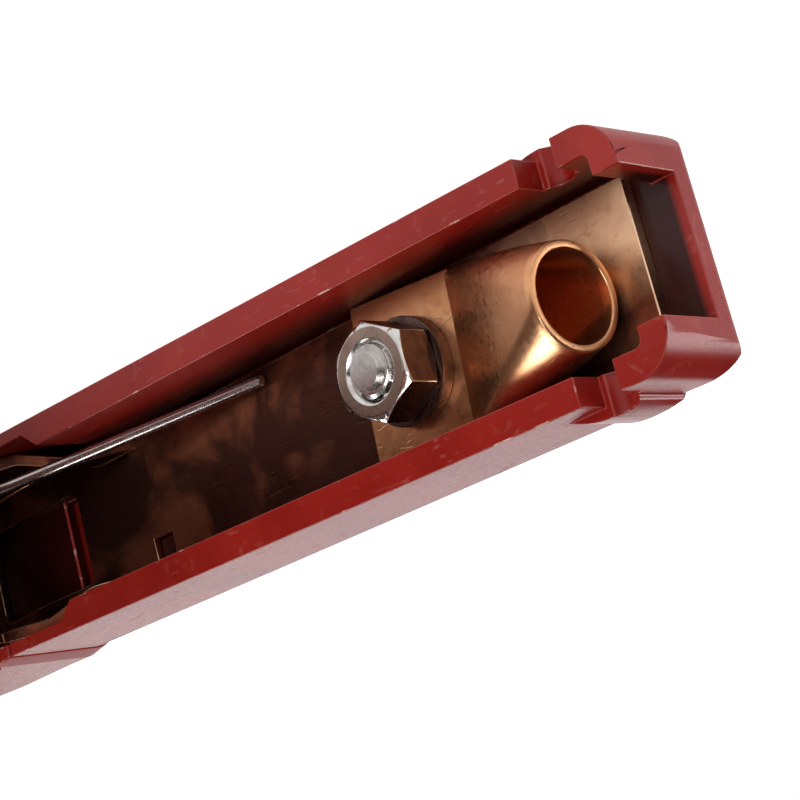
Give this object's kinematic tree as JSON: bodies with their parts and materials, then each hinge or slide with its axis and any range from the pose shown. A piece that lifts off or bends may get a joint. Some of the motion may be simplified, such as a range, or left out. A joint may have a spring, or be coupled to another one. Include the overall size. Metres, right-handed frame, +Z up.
{
  "type": "crocodile clip",
  "caption": "Insulated crocodile clip: two sprung pressed arms with moulded grips, toothed contacts and a bolted tube lug for the cable.",
  "frame": {"origin": "on the surface that the clip lies on, under the centre of its box", "axes": "+X towards the ends of the handles, +Y towards the handle without the lug, +Z up along the pivot pin"},
  "size_m": [0.1699, 0.1076, 0.0282],
  "materials": {
    "red_moulding": "deep red moulded plastic, smooth and glossy",
    "copper_plated_steel": "steel sheet with thin copper plating",
    "contact_copper": "bare copper",
    "lug_copper": "bare annealed copper",
    "zinc_plated_steel": "bright plated steel",
    "spring_steel": "drawn spring wire"
  },
  "bodies": {
    "cable_side": {"cable_arm": "copper_plated_steel", "cable_arm_grip": "red_moulding", "cable_arm_jaw_cover": "red_moulding", "cable_arm_contact": "contact_copper", "cable_arm_contact_rivets": "contact_copper", "cable_lug": "lug_copper", "lug_bolt": "zinc_plated_steel", "lug_washer": "zinc_plated_steel", "lug_nut": "zinc_plated_steel", "pivot_pin": "zinc_plated_steel", "pivot_washer": "zinc_plated_steel", "spring_sleeve": "zinc_plated_steel", "torsion_spring": "spring_steel"},
    "plain_side": {"plain_arm": "copper_plated_steel", "plain_arm_grip": "red_moulding", "plain_arm_jaw_cover": "red_moulding", "plain_arm_contact": "contact_copper", "plain_arm_contact_rivets": "contact_copper"}
  },
  "joints": [
    {"name": "jaw_hinge", "type": "hinge", "parent": "cable_side", "child": "plain_side", "pos_m": [-0.01947, 0, 0.0141], "axis": [0, 0, -1], "range_deg": [0, 32], "stiffness_Nm_per_rad": 2, "springref_deg": -34.38, "deforming": ["torsion_spring"]}
  ]
}
